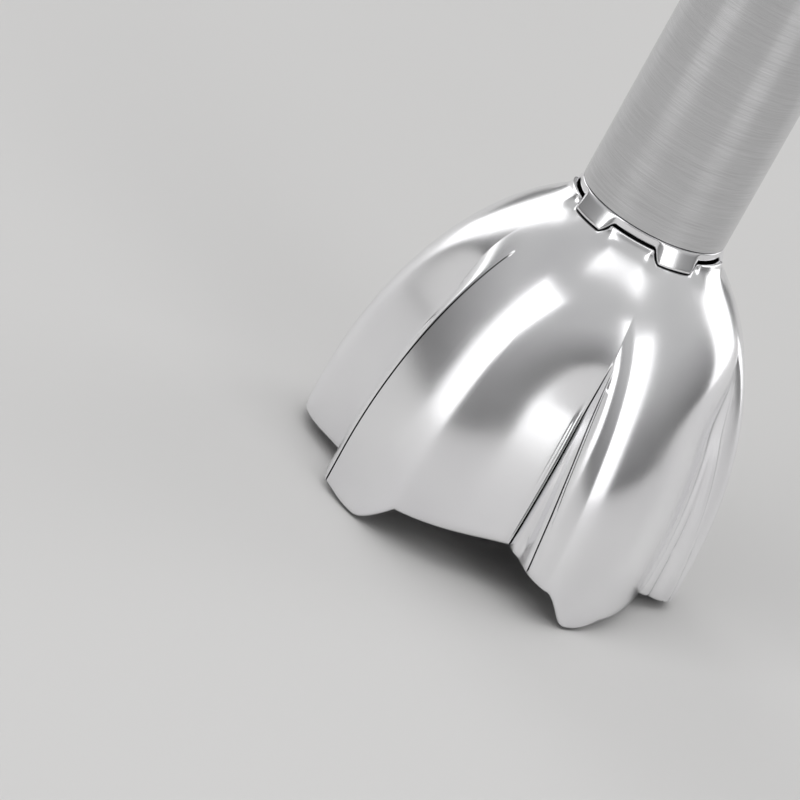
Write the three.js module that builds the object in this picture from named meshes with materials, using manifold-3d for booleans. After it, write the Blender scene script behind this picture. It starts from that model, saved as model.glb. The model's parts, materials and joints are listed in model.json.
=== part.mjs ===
// Immersion blender: pleated steel bell and tube, lift-off motor handle, drive train and controls.
// Millimetres, +Z up, origin on the main axis in the plane of the bell's petal tips. The front
// of the handle, with its buttons, faces -Y.
import * as THREE from 'three';
import { mergeVertices } from 'three/addons/utils/BufferGeometryUtils.js';
import Module from 'manifold-3d';

const wasm = await Module();
wasm.setup();

// ---- driving dimensions -------------------------------------------------------------------

const BELL = {
  seamZ: 61,          // height of the seam between the tube and the collar
  radius: 35,         // largest radius, over the petal crests
  domeCentre: 54,     // depth below the seam at which the dome has become a cylinder
  domeHeight: 54.9,   // vertical half axis of the dome's ellipse
  wall: 1,
  neckBore: 9.8,
  shoulderDepth: 3.7, // depth below the seam at which the shoulder meets the collar
  notchLift: 2,       // how far the shoulder climbs into each collar notch
  notchCentre: -4.5,
  notchHalfWidth: 20,
  notchEdge: 8,       // degrees over which a notch rises
  notchSpread: 6,     // degrees by which that widens with each millimetre below its lip
};
const PETAL = {
  count: 5,
  pitch: 72,
  wallStartTop: 13.5, // degrees: inner end of one petal, foot of the pleat wall, high up
  wallStartRim: 10.3, // and at the rim
  wallEnd: 24,        // degrees: crest where the next petal starts
  recess: 5.8,        // greatest depth of the pleat below the dome
  recessStart: 6.5,   // depth below the seam from which the pleats' depth is counted
  recessRun: 11.6,    // depth over which they deepen
  easeStart: 10,      // depth at which they show
  easeRun: 16,        // depth over which they are eased in
  crestRun: 38,       // depth over which the crests get sharper
  grooveStart: 30,    // depth at which the V groove in the pleat wall begins
  grooveRun: 20,
  grooveDepth: 0.6,
  tipAt: 0.24,        // place of the tip along the petal, as a fraction
  cuspAt: 0.42,
};
// Height of each arch between two petals: at the foot of the pleat wall and at its crest.
const ARCHES = [
  { foot: 8.4, crest: 5.6 },
  { foot: 2.4, crest: 0.8 },
  { foot: 5.5, crest: 3.5 },
  { foot: 5.5, crest: 3.5 },
  { foot: 2.4, crest: 0.8 },
];
// Share of each petal's width before its surface turns inwards.
const SHOULDERS = [0, 0.35, 0.35, 0.5, 0.36];
// 1 where the crest after a pleat is soft, 0 where it is a crisp fold.
const SOFT_CRESTS = [1, 1, 1, 1, 0];
// Outer radius of the collar at its lower edge.
const COLLAR = { padRadius: 14.25, notchRadius: 13 };
const TUBE = { radius: 13, wall: 1, top: 196, topRadius: 24, flareStart: 118 };
const SHAFT_RADIUS = 2.5;
const SHAFT_BORE = 2.6;
const SHAFT_TOP = 201;
const BUSH_RADIUS = 5.1;
const BUSH_SEAT = 5.2;
const TOWER = { bottom: 26, neck: 57, top: 66, footRadius: 8.4, neckRadius: 9.6, flangeRadius: 11.8 };
const BLADE = { sweep: 22.5, bottom: 14.4, thick: 1.6, bendAt: 7, drop: 3.2, rise: 4 };
const SOCKET = { flange: 200, plugRadius: 19.4, plugTop: 214, cavity: 10.5 };
const HANDLE = { bottom: 213.3, top: 372, wall: 2.2, halfGap: 0.15 };
// Outer radius of the handle at a few heights, joined by a smooth curve.
const HANDLE_OUTLINE = [[213.3, 25.5], [235, 28], [285, 30.5], [338, 29], [372, 30.5]];
const CAP = { bottom: 372.3, top: 392, recessFloor: 386, recessRadius: 18.2 };
const DIAL_TOP = 394.5;
const BUTTON_TRAVEL = 2.5;
const SWITCH_FRONT = -15.5;
const POWER_Z = 348;
const TURBO_Z = 330;
const RELEASE_Z = 221;
const STATOR = { bottom: 250, top: 290, radius: 25.3, bore: 17.7 };
const MOTOR_SHAFT_RADIUS = 3;
const MOTOR_BORE = 3.15;
const SCREW_X = 18;
const SCREW_HEIGHTS = [235.3, 366];
const WIDE = 24;      // sides of the large turned pieces
const FINE = 16;      // sides of the small ones

const DEG = Math.PI / 180;

// ---- finishes -----------------------------------------------------------------------------

const finish = (color, roughness, metalness) =>
  new THREE.MeshStandardMaterial({ color, roughness, metalness });
const polishedSteel = finish(0xe4e3e6, 0.12, 1);
const brushedSteel = finish(0xa9a9ab, 0.35, 1);
const machinedSteel = finish(0x9b9da1, 0.4, 1);
const bronze = finish(0xa9793f, 0.5, 1);
const copper = finish(0xb4622f, 0.4, 1);
const carbon = finish(0x2c2c2e, 0.8, 0.1);
const laminate = finish(0x5c5e62, 0.6, 0.8);
const darkPlastic = finish(0x202124, 0.45, 0);
const greyPlastic = finish(0x6d6f73, 0.5, 0);
const rubber = finish(0x17181a, 0.85, 0);
const board = finish(0x1c5a35, 0.6, 0);

// ---- geometry helpers ---------------------------------------------------------------------

const model = new THREE.Group();

function signedVolume(geometry) {
  const p = geometry.attributes.position;
  const index = geometry.index;
  const [a, b, c] = [new THREE.Vector3(), new THREE.Vector3(), new THREE.Vector3()];
  let volume = 0;
  for (let i = 0; i < index.count; i += 3) {
    a.fromBufferAttribute(p, index.getX(i));
    b.fromBufferAttribute(p, index.getX(i + 1));
    c.fromBufferAttribute(p, index.getX(i + 2));
    volume += a.dot(b.cross(c)) / 6;
  }
  return volume;
}

// Shared vertices merged, and every face turned outwards.
function closed(geometry) {
  const bare = geometry.clone();
  bare.deleteAttribute('normal');
  bare.deleteAttribute('uv');
  const merged = mergeVertices(bare, 1e-4);
  if (signedVolume(merged) < 0) {
    const list = merged.index.array;
    for (let i = 0; i < list.length; i += 3) {
      [list[i], list[i + 1]] = [list[i + 1], list[i]];
    }
  }
  return merged;
}

function toSolid(geometry) {
  const g = closed(geometry);
  return new wasm.Manifold(new wasm.Mesh({
    numProp: 3,
    vertProperties: new Float32Array(g.attributes.position.array),
    triVerts: new Uint32Array(g.index.array),
  }));
}

function toGeometry(solid) {
  const mesh = solid.getMesh();
  const g = new THREE.BufferGeometry();
  g.setAttribute('position', new THREE.BufferAttribute(mesh.vertProperties, 3));
  g.setIndex(new THREE.BufferAttribute(mesh.triVerts, 1));
  return g;
}

const join = (...parts) => toGeometry(parts.map(toSolid).reduce((a, b) => a.add(b)));
const cut = (body, ...tools) =>
  toGeometry(tools.map(toSolid).reduce((a, b) => a.subtract(b), toSolid(body)));
const common = (a, b) => toGeometry(toSolid(a).intersect(toSolid(b)));

function add(name, geometry, material) {
  const mesh = new THREE.Mesh(closed(geometry), material);
  mesh.geometry.computeVertexNormals();
  mesh.name = name;
  model.add(mesh);
}

// A turned piece about Z from [radius, height] points. The outline either starts and ends on
// the axis or is closed here on its first point.
function turned(points, sides = FINE) {
  const outline = points.map(([r, z]) => new THREE.Vector2(r, z));
  const onAxis = points[0][0] === 0 && points.at(-1)[0] === 0;
  if (!onAxis) outline.push(outline[0].clone());
  return new THREE.LatheGeometry(outline, sides).rotateX(Math.PI / 2);
}

const ring = (rIn, rOut, z0, z1, sides = FINE) =>
  turned([[rIn, z0], [rOut, z0], [rOut, z1], [rIn, z1]], sides);
const rod = (radius, z0, z1, sides = FINE) =>
  turned([[0, z0], [radius, z0], [radius, z1], [0, z1]], sides);

// A box from its two corners.
function box(x0, y0, z0, x1, y1, z1) {
  const g = new THREE.BoxGeometry(x1 - x0, y1 - y0, z1 - z0);
  return g.translate((x0 + x1) / 2, (y0 + y1) / 2, (z0 + z1) / 2);
}

// A cylinder along Y.
const rodY = (radius, y0, y1, x, z, sides = FINE) =>
  new THREE.CylinderGeometry(radius, radius, y1 - y0, sides).translate(x, (y0 + y1) / 2, z);

function prism(shape, z0, z1, curveSegments = 12) {
  const g = new THREE.ExtrudeGeometry(shape, { depth: z1 - z0, bevelEnabled: false, curveSegments });
  return g.translate(0, 0, z0);
}

// A sector of a ring, from angle a0 to a1 in degrees.
function sector(rIn, rOut, a0, a1, z0, z1) {
  const shape = new THREE.Shape();
  shape.absarc(0, 0, rOut, a0 * DEG, a1 * DEG, false);
  shape.absarc(0, 0, rIn, a1 * DEG, a0 * DEG, true);
  shape.closePath();
  return prism(shape, z0, z1, 8);
}

// A flat outline from [radius, degrees] points.
function outlineShape(points) {
  const corners = points.map(([r, a]) => new THREE.Vector2(r * Math.cos(a * DEG), r * Math.sin(a * DEG)));
  return new THREE.Shape(corners);
}

const polygon = (radius, sides) =>
  outlineShape(Array.from({ length: sides }, (_, i) => [radius, (i / sides) * 360]));

// A closed skin over a ring of closed outlines, each a list of Vector3.
function skin(outlines) {
  const columns = outlines.length;
  const rows = outlines[0].length;
  const position = outlines.flat().flatMap((v) => [v.x, v.y, v.z]);
  const index = [];
  for (let i = 0; i < columns; i += 1) {
    for (let j = 0; j < rows; j += 1) {
      const a = i * rows + j;
      const b = i * rows + ((j + 1) % rows);
      const c = ((i + 1) % columns) * rows + j;
      const d = ((i + 1) % columns) * rows + ((j + 1) % rows);
      index.push(a, b, d, a, d, c);
    }
  }
  const g = new THREE.BufferGeometry();
  g.setAttribute('position', new THREE.Float32BufferAttribute(position, 3));
  g.setIndex(index);
  return g;
}

// A helical spring along Z, from z0 to z1.
function spring(radius, wire, z0, z1, turns) {
  class Helix extends THREE.Curve {
    getPoint(t, target = new THREE.Vector3()) {
      const a = t * turns * 2 * Math.PI;
      const z = z0 + wire + (z1 - z0 - 2 * wire) * t;
      return target.set(radius * Math.cos(a), radius * Math.sin(a), z);
    }
  }
  const path = { steps: Math.round(turns * 9), bevelEnabled: false, extrudePath: new Helix() };
  return new THREE.ExtrudeGeometry(polygon(wire, 5), path);
}

const smooth = (t) => {
  const u = Math.min(1, Math.max(0, t));
  return u * u * (3 - 2 * u);
};
const mix = (a, b, t) => a + (b - a) * t;

// ---- bell guard ---------------------------------------------------------------------------

// Radius of the dome that the petal crests lie on, at a depth below the seam.
function domeRadius(depth) {
  const x = Math.min(1, (depth + BELL.domeHeight - BELL.domeCentre) / BELL.domeHeight);
  return BELL.radius * Math.sqrt(1 - (1 - x) ** 2);
}

// 1 inside a collar notch, 0 on the pads between notches, for an angle in degrees. Below the
// notch's lip its edges are softer.
function notch(angle, below = 0) {
  const turn = (((angle - BELL.notchCentre) % PETAL.pitch) + 1.5 * PETAL.pitch) % PETAL.pitch;
  const off = Math.abs(turn - PETAL.pitch / 2);
  const edge = BELL.notchEdge + BELL.notchSpread * below;
  return smooth((BELL.notchHalfWidth - off) / edge + 0.5);
}

const shoulderDepth = (angle) => BELL.shoulderDepth - BELL.notchLift * notch(angle);

// How far the surface lies inside the dome: along a petal, or across a pleat wall, which falls
// away from a crest that is soft high up and sharper at the rim.
function pleatDepth(place, depth) {
  const below = Math.max(0, depth - PETAL.recessStart);
  const eased = smooth((depth - PETAL.easeStart) / PETAL.easeRun);
  const fade = (1 - Math.exp(-below / PETAL.recessRun)) * eased;
  if (place.onPetal) {
    const shoulder = SHOULDERS[place.petal];
    return PETAL.recess * fade * smooth((place.along - shoulder) / (1 - shoulder));
  }
  const groove = Math.max(0, Math.min(1, (depth - PETAL.grooveStart) / PETAL.grooveRun));
  const vee = Math.max(0, 1 - Math.abs(place.along - 0.4) / 0.2);
  const soft = mix(3.5, 1.6, Math.min(1, Math.max(0, (depth - 12) / PETAL.crestRun)));
  const power = mix(1.15, soft, SOFT_CRESTS[place.petal]);
  return PETAL.recess * fade * (1 - place.along) ** power + PETAL.grooveDepth * groove * vee;
}

// Angle of a place at a depth, in degrees.
function bellAngle(place, depth) {
  const foot = mix(PETAL.wallStartTop, PETAL.wallStartRim, Math.min(1, Math.max(0, (depth - 18) / 40)));
  const start = place.petal * PETAL.pitch;
  if (!place.onPetal) return start + mix(foot, PETAL.wallEnd, place.along);
  return start + mix(PETAL.wallEnd, PETAL.pitch + foot, place.along);
}

function bellRadius(place, depth) {
  const below = Math.max(0, depth - BELL.shoulderDepth + BELL.notchLift);
  const lift = notch(bellAngle(place, depth), below) * Math.exp(-below / 2);
  return domeRadius(depth + BELL.notchLift * lift) - pleatDepth(place, depth);
}

// Height of the lower edge above the tips.
function edgeHeight(place) {
  const here = ARCHES[place.petal];
  const next = ARCHES[(place.petal + 1) % PETAL.count];
  const s = place.along;
  if (!place.onPetal) return mix(here.foot, here.crest, s);
  if (s < PETAL.tipAt) return here.crest * (1 - smooth(s / (PETAL.tipAt - 0.04)));
  const cusp = 0.65 * next.foot;
  if (s < PETAL.cuspAt) return cusp * ((s - PETAL.tipAt) / (PETAL.cuspAt - PETAL.tipAt)) ** 1.5;
  return mix(cusp, next.foot, (s - PETAL.cuspAt) / (1 - PETAL.cuspAt));
}

// The places round the bell at which its outline is taken: each pleat wall, then its petal.
function bellPlaces() {
  const wall = [0, 0.2, 0.4, 0.6, 0.8];
  const petal = [0, 0.07, 0.14, PETAL.tipAt - 0.04, PETAL.tipAt, 0.33, PETAL.cuspAt, 0.56, 0.7, 0.82, 0.92];
  const places = [];
  for (let k = 0; k < PETAL.count; k += 1) {
    wall.forEach((along) => places.push({ petal: k, onPetal: false, along }));
    petal.forEach((along) => places.push({ petal: k, onPetal: true, along }));
  }
  return places;
}

// Angles are counted from the front, -Y, towards +X.
function pointAt(angle, radius, depth) {
  const a = angle * DEG;
  return new THREE.Vector3(radius * Math.sin(a), -radius * Math.cos(a), BELL.seamZ - depth);
}

function bellOutline(place) {
  const rows = 9;
  const crownAngle = bellAngle(place, 0);
  const top = shoulderDepth(crownAngle);
  const bottom = BELL.seamZ - edgeHeight(place);
  const outer = [];
  const inner = [];
  for (let i = 0; i <= rows; i += 1) {
    const depth = mix(top, bottom, (i / rows) ** 1.5);
    const angle = bellAngle(place, depth);
    const radius = bellRadius(place, depth);
    const slope = (bellRadius(place, depth + 0.05) - radius) / 0.05;
    const long = Math.hypot(1, slope);
    outer.push(pointAt(angle, radius, depth));
    const innerDepth = i === rows ? depth : depth + (BELL.wall * slope) / long;
    if (i > 1) inner.unshift(pointAt(angle, radius - BELL.wall / long, innerDepth));
  }
  const underside = top + BELL.wall;
  return [
    pointAt(crownAngle, BELL.neckBore, top),
    ...outer,
    ...inner,
    pointAt(crownAngle, BELL.neckBore + 1.8, underside),
    pointAt(crownAngle, BELL.neckBore, underside),
  ];
}

function addBell() {
  add('bell_guard', skin(bellPlaces().map(bellOutline)), polishedSteel);
}

function addCollar() {
  const outlines = bellPlaces().map((place) => {
    const angle = bellAngle(place, 0);
    const low = shoulderDepth(angle) - 0.1;
    return [
      pointAt(angle, BELL.neckBore, 0),
      pointAt(angle, TUBE.radius - 0.15, 0),
      pointAt(angle, mix(COLLAR.padRadius, COLLAR.notchRadius, notch(angle)), low),
      pointAt(angle, BELL.neckBore, low),
    ];
  });
  add('shaft_collar', skin(outlines), polishedSteel);
}

// ---- blending shaft -----------------------------------------------------------------------

const tubeRadius = (z) => {
  const t = (z - TUBE.flareStart) / (TUBE.top - TUBE.flareStart);
  return TUBE.radius + (TUBE.topRadius - TUBE.radius) * smooth(t);
};

function addTube() {
  const heights = [BELL.seamZ + 0.1, 90, TUBE.flareStart];
  const steps = 7;
  for (let i = 1; i <= steps; i += 1) {
    heights.push(mix(TUBE.flareStart, TUBE.top, i / steps));
  }
  const outer = heights.map((z) => [tubeRadius(z), z]);
  const inner = heights.map((z) => [tubeRadius(z) - TUBE.wall, z]).reverse();
  add('shaft_tube', turned([...outer, ...inner], WIDE), brushedSteel);
}

function addLowerBearing() {
  const { bottom, neck, top, footRadius, neckRadius, flangeRadius } = TOWER;
  const sealSeat = bottom + 6;
  const flangeZ = BELL.seamZ + 0.2;
  const sealPocket = footRadius - 1.4;
  add('bearing_tower', turned([
    [sealPocket, bottom], [footRadius, bottom], [neckRadius, neck], [neckRadius, flangeZ],
    [flangeRadius, flangeZ], [flangeRadius, top - 1], [flangeRadius - 1, top], [BUSH_SEAT, top],
    [BUSH_SEAT, sealSeat], [sealPocket, sealSeat],
  ]), greyPlastic);
  add('lower_bush', ring(SHAFT_BORE, BUSH_RADIUS, sealSeat + 0.2, sealSeat + 14), bronze);
  const lip = SHAFT_BORE + 0.1;
  add('shaft_seal', turned([
    [lip, bottom + 1.6], [sealPocket - 0.1, bottom + 1.6], [sealPocket - 0.1, sealSeat - 0.1],
    [4.5, sealSeat - 0.1], [3.6, bottom + 4], [lip, bottom + 2.2],
  ]), rubber);
  add('seal_retainer', ring(SHAFT_BORE + 0.6, sealPocket - 0.1, bottom, bottom + 1.3), machinedSteel);
}

function addUpperBearing() {
  add('upper_bearing_plate', turned([
    [BUSH_SEAT, 170], [8, 170], [8, 176], [20, 176], [20, 180], [8, 180], [8, 186], [BUSH_SEAT, 186],
  ]), greyPlastic);
  add('upper_bush', ring(SHAFT_BORE, BUSH_RADIUS, 171, 184), bronze);
}

function addSocket() {
  const { flange, plugRadius, plugTop, cavity } = SOCKET;
  const rim = TUBE.top + 0.15;
  add('coupling_socket', turned([
    [cavity, rim], [17.5, rim], [17.5, 180.3], [20.5, 180.3], [20.5, rim], [TUBE.topRadius, rim],
    [TUBE.topRadius, flange], [plugRadius, flange], [plugRadius, flange + 4],
    [plugRadius - 1.2, flange + 5], [plugRadius - 1.2, flange + 7], [plugRadius, flange + 7],
    [plugRadius, flange + 9], [plugRadius - 1.2, flange + 9], [plugRadius - 1.2, flange + 11],
    [plugRadius, flange + 11], [plugRadius, plugTop - 1], [plugRadius - 1, plugTop], [cavity, plugTop],
  ], WIDE), darkPlastic);
  const inner = plugRadius - 1.1;
  const outer = plugRadius + 0.1;
  add('socket_seal', turned([
    [inner, flange + 9.4], [inner + 0.4, flange + 9.1], [outer - 0.3, flange + 9.1], [outer, flange + 9.6],
    [outer, flange + 10.4], [outer - 0.3, flange + 10.9],
    [inner + 0.4, flange + 10.9], [inner, flange + 10.6],
  ], WIDE), rubber);
}

// ---- blade drive --------------------------------------------------------------------------

// One wing of the blade, from the hub outwards along +X, swept back at its tip and bent by lift.
function bladeWing(lift) {
  const { sweep, bottom, thick, bendAt } = BLADE;
  const root = bendAt - 0.2;
  const shape = new THREE.Shape();
  shape.moveTo(root, -4.6);
  shape.lineTo(bendAt, -4.6);
  shape.quadraticCurveTo(15, -4.4, sweep - 1.5, 0.6);
  shape.lineTo(sweep - 0.8, 4);
  shape.quadraticCurveTo(15, 4.8, bendAt, 4.6);
  shape.lineTo(root, 4.6);
  const g = prism(shape, bottom, bottom + thick, 6);
  const p = g.attributes.position;
  for (let i = 0; i < p.count; i += 1) {
    const out = Math.max(0, p.getX(i) - bendAt) / (sweep - bendAt);
    p.setZ(i, p.getZ(i) + lift * out);
  }
  return g;
}

function bladeGeometry() {
  const { bottom, thick, bendAt, drop, rise } = BLADE;
  const hub = box(-bendAt, -4.6, bottom, bendAt, 4.6, bottom + thick);
  const hole = rod(SHAFT_BORE, bottom - 1, bottom + thick + 1);
  return cut(join(hub, bladeWing(-drop), bladeWing(rise).rotateZ(Math.PI)), hole);
}

function addBladeDrive() {
  const { bottom, thick } = BLADE;
  const top = bottom + thick;
  const shaftEnd = bottom - 4.9;
  add('drive_shaft', rod(SHAFT_RADIUS, shaftEnd, SHAFT_TOP), machinedSteel);
  add('blade_hub', turned([
    [SHAFT_BORE, top + 0.1], [5, top + 0.1], [6, top + 3], [6, TOWER.bottom - 2], [4.6, TOWER.bottom - 0.8],
    [SHAFT_BORE, TOWER.bottom - 0.8],
  ]), machinedSteel);
  add('blade', bladeGeometry(), brushedSteel);
  const nutTop = bottom - 0.1;
  add('blade_nut', turned([
    [0, bottom - 7.6], [1.8, bottom - 7.3], [3.6, bottom - 6], [4.5, bottom - 3.8], [4.8, nutTop],
    [SHAFT_BORE, nutTop], [SHAFT_BORE, shaftEnd - 0.2], [0, shaftEnd - 0.2],
  ]), polishedSteel);
  const body = rod(7.5, SHAFT_TOP - 5, SHAFT_TOP + 6.5);
  const shaftHole = rod(SHAFT_BORE, SHAFT_TOP - 6, SHAFT_TOP + 0.2);
  const hexHole = prism(polygon(4.6, 6), SHAFT_TOP + 1.2, SHAFT_TOP + 8);
  add('driven_dog', cut(body, shaftHole, hexHole), greyPlastic);
}

// ---- handle casing ------------------------------------------------------------------------

const handleCurve = new THREE.SplineCurve(HANDLE_OUTLINE.map(([z, r]) => new THREE.Vector2(z, r)));

function handleProfile(offset, z0, z1, steps) {
  const points = [];
  for (let i = 0; i <= 60; i += 1) {
    points.push(handleCurve.getPoint(i / 60));
  }
  const radiusAt = (z) => {
    const k = Math.max(1, points.findIndex((p) => p.x >= z - 1e-6));
    const [a, b] = [points[k - 1], points[k]];
    return mix(a.y, b.y, (z - a.x) / (b.x - a.x));
  };
  const profile = [];
  for (let i = 0; i <= steps; i += 1) {
    const z = mix(z0, z1, i / steps);
    profile.push([radiusAt(z) + offset, z]);
  }
  return profile;
}

const handleSleeve = (inner, outer, z0, z1, steps) =>
  turned([...handleProfile(outer, z0, z1, steps), ...handleProfile(inner, z0, z1, steps).reverse()], WIDE);

function releaseWindow() {
  const half = 7;
  return box(-40, -half, RELEASE_Z - 5.5, 40, half, RELEASE_Z + 5.5);
}

const screwPlaces = () => SCREW_HEIGHTS.flatMap((z) => [[-SCREW_X, z], [SCREW_X, z]]);

function addShells() {
  const { bottom, top, wall, halfGap } = HANDLE;
  const sleeve = handleSleeve(-wall, 0, bottom, top, 9);
  const frontHalf = common(sleeve, box(-50, -50, 0, 50, -halfGap, 500));
  const rearHalf = common(sleeve, box(-50, halfGap, 0, 50, 50, 500));
  const frontBosses = screwPlaces().map(([x, z]) => rodY(2.7, -19, -halfGap, x, z, 12));
  const rearBosses = screwPlaces().map(([x, z]) => rodY(3.5, halfGap, 19, x, z, 12));
  const pilots = screwPlaces().map(([x, z]) => rodY(1.2, -12, 1, x, z, 10));
  const bores = screwPlaces().map(([x, z]) => rodY(1.5, -1, 10, x, z, 10));
  const pockets = screwPlaces().map(([x, z]) => rodY(2.9, 8, 40, x, z, 12));
  add('handle_front_shell', cut(
    join(frontHalf, ...frontBosses),
    releaseWindow(),
    rodY(7.3, -40, -20, 0, POWER_Z),
    rodY(5.3, -40, -20, 0, TURBO_Z),
    ...pilots,
  ), darkPlastic);
  const rear = cut(join(rearHalf, ...rearBosses), releaseWindow(), ...bores, ...pockets);
  add('handle_rear_shell', rear, darkPlastic);
  screwPlaces().forEach(([x, z], i) => {
    const screw = join(rodY(2.5, 8.1, 9.8, x, z, 12), rodY(1.05, -9, 8.4, x, z, 10));
    add(`housing_screw_${i + 1}`, screw, machinedSteel);
  });
}

function addCasingTrim() {
  add('coupling_ring', turned([
    [SOCKET.plugRadius + 0.5, SOCKET.flange + 0.3], [23.6, SOCKET.flange + 0.3], [25.2, SOCKET.flange + 2],
    [25.6, SOCKET.flange + 7], [25.5, HANDLE.bottom - 0.2], [SOCKET.plugRadius + 0.5, HANDLE.bottom - 0.2],
  ], WIDE), polishedSteel);
  const pad = handleSleeve(0.15, 1.35, 245, 356, 6);
  add('soft_grip', common(pad, box(-50, 10, 0, 50, 50, 500)), rubber);
  const { bottom, top, recessFloor, recessRadius } = CAP;
  const cap = turned([
    [3.4, recessFloor - 2], [26, recessFloor - 2], [28, bottom], [30.5, bottom], [30.4, 380], [28.6, 388],
    [25.5, top], [recessRadius, top], [recessRadius, recessFloor], [3.4, recessFloor],
  ], WIDE);
  add('top_cap', cut(cap, rodY(4.3, 20, 40, 0, 378.5, 16)), darkPlastic);
  const gland = join(rodY(3.9, 25, 32, 0, 378.5, 16), rodY(6, 31, 33, 0, 378.5, 16));
  add('cord_gland', cut(gland, rodY(2.6, 24, 34, 0, 378.5, 16)), rubber);
}

// ---- motor --------------------------------------------------------------------------------

function addStator() {
  const { bottom, top, radius, bore } = STATOR;
  const stack = ring(bore, radius, bottom, top, WIDE);
  const slots = [0, 180].flatMap((turn) => [
    sector(19.3, 23.7, turn + 42, turn + 56, bottom - 1, top + 1),
    sector(19.3, 23.7, turn - 56, turn - 42, bottom - 1, top + 1),
  ]);
  add('stator', cut(stack, ...slots), laminate);
  for (const [name, turn] of [['field_coil_right', 0], ['field_coil_left', 180]]) {
    const loop = sector(19.6, 23.4, turn - 54, turn + 54, bottom - 4.3, top + 4.3);
    const window = sector(19, 24, turn - 44, turn + 44, bottom - 0.3, top + 0.3);
    add(name, cut(loop, window), copper);
  }
}

function addBearings() {
  const seat = 8.3;
  add('lower_bearing_bracket', turned([
    [seat, 227.6], [24.6, 227.6], [24.6, 230.6], [10.5, 230.6], [10.5, 237], [seat, 237],
  ], WIDE), greyPlastic);
  add('lower_bearing', ring(MOTOR_BORE, 8.1, 230.4, 236.4), machinedSteel);
  add('upper_bearing_bracket', turned([
    [seat, 312], [10.5, 312], [10.5, 317], [26.2, 317], [26.2, 319.5], [seat, 319.5],
  ], WIDE), greyPlastic);
  add('upper_bearing', ring(MOTOR_BORE, 8.1, 313, 319), machinedSteel);
  add('latch_frame', ring(12.3, 15, 214.8, 227.3), greyPlastic);
}

function fanGeometry() {
  const hub = ring(MOTOR_BORE, 7, 239.6, 245);
  const disc = ring(6.5, 22, 239.6, 240.8, WIDE);
  const blades = [];
  const count = 9;
  for (let i = 0; i < count; i += 1) {
    const blade = box(9, -0.5, 240.4, 21.4, 0.5, 245).rotateZ((i / count) * 2 * Math.PI);
    blades.push(blade);
  }
  return join(hub, disc, ...blades);
}

function armatureShape() {
  const slots = 12;
  const tooth = [[17, -11], [17, 11], [12, 13], [12, 17]];
  const points = [];
  for (let i = 0; i < slots; i += 1) {
    tooth.forEach(([radius, off]) => points.push([radius, (i / slots) * 360 + off]));
  }
  const shape = outlineShape(points);
  const hole = new THREE.Path();
  hole.absarc(0, 0, MOTOR_BORE, 0, 2 * Math.PI, true);
  shape.holes.push(hole);
  return shape;
}

function addArmature() {
  add('motor_shaft', rod(MOTOR_SHAFT_RADIUS, 211.3, 322), machinedSteel);
  add('armature_core', prism(armatureShape(), STATOR.bottom + 1, STATOR.top - 1), laminate);
  const winding = (z0, z1) => turned([
    [6, z0], [14, z0], [15.5, z0 + 1], [15.5, z1 - 1], [14, z1], [6, z1],
  ]);
  add('winding_rear', winding(246, STATOR.bottom + 0.8), copper);
  add('winding_front', winding(STATOR.top - 0.8, 296.4), copper);
  add('commutator', turned([
    [MOTOR_BORE, 297], [10, 297], [10, 299], [8.5, 299], [8.5, 309], [MOTOR_BORE, 309],
  ], 24), copper);
  add('fan', fanGeometry(), greyPlastic);
  const boss = rod(6.5, 208.3, 219);
  const hex = prism(polygon(4.1, 6), SHAFT_TOP + 1.6, 208.5);
  add('drive_dog', cut(join(boss, hex), rod(MOTOR_BORE, 211, 220)), machinedSteel);
}

function addBrushes() {
  const z = 304;
  for (const [name, sign] of [['right', 1], ['left', -1]]) {
    const along = (x0, x1, halfY, halfZ) => {
      const [a, b] = [sign * x0, sign * x1].sort((p, q) => p - q);
      return box(a, -halfY, z - halfZ, b, halfY, z + halfZ);
    };
    add(`brush_holder_${name}`, cut(along(11, 23, 4, 4.5), along(10, 24, 2.8, 3.3)), bronze);
    add(`brush_${name}`, along(8.8, 19, 2.5, 3), carbon);
  }
}

// ---- controls -----------------------------------------------------------------------------

function addElectronics() {
  add('control_board', box(-20, -9.6, 322.5, 20, -8, 361.5), board);
  add('power_switch', box(-6, SWITCH_FRONT, POWER_Z - 4, 6, -9.8, POWER_Z + 4), darkPlastic);
  add('turbo_switch', box(-4, SWITCH_FRONT, TURBO_Z - 4.5, 4, -9.8, TURBO_Z + 2.5), darkPlastic);
  const plate = box(-12, -17.5, 322, 12, -16.3, 358);
  const holes = [POWER_Z, TURBO_Z].map((z) => rodY(3.2, -20, -10, 0, z));
  add('button_carrier', cut(plate, ...holes), greyPlastic);
  add('potentiometer', turned([[3.3, 374.5], [8, 374.5], [8, 380.5], [3.3, 380.5]]), greyPlastic);
}

// A push button along Y with a flange behind the shell and a stem to its switch.
function pushButton(radius, z) {
  const stemEnd = SWITCH_FRONT - BUTTON_TRAVEL - 0.1;
  const outline = [
    [0, -31.2], [radius - 1.2, -31.2], [radius, -30.2], [radius, -24.5], [radius + 1.8, -24.5],
    [radius + 1.8, -23], [2.4, -23], [2.4, stemEnd], [0, stemEnd],
  ];
  const points = outline.map(([r, y]) => new THREE.Vector2(r, y));
  return new THREE.LatheGeometry(points, FINE).translate(0, 0, z);
}

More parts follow.
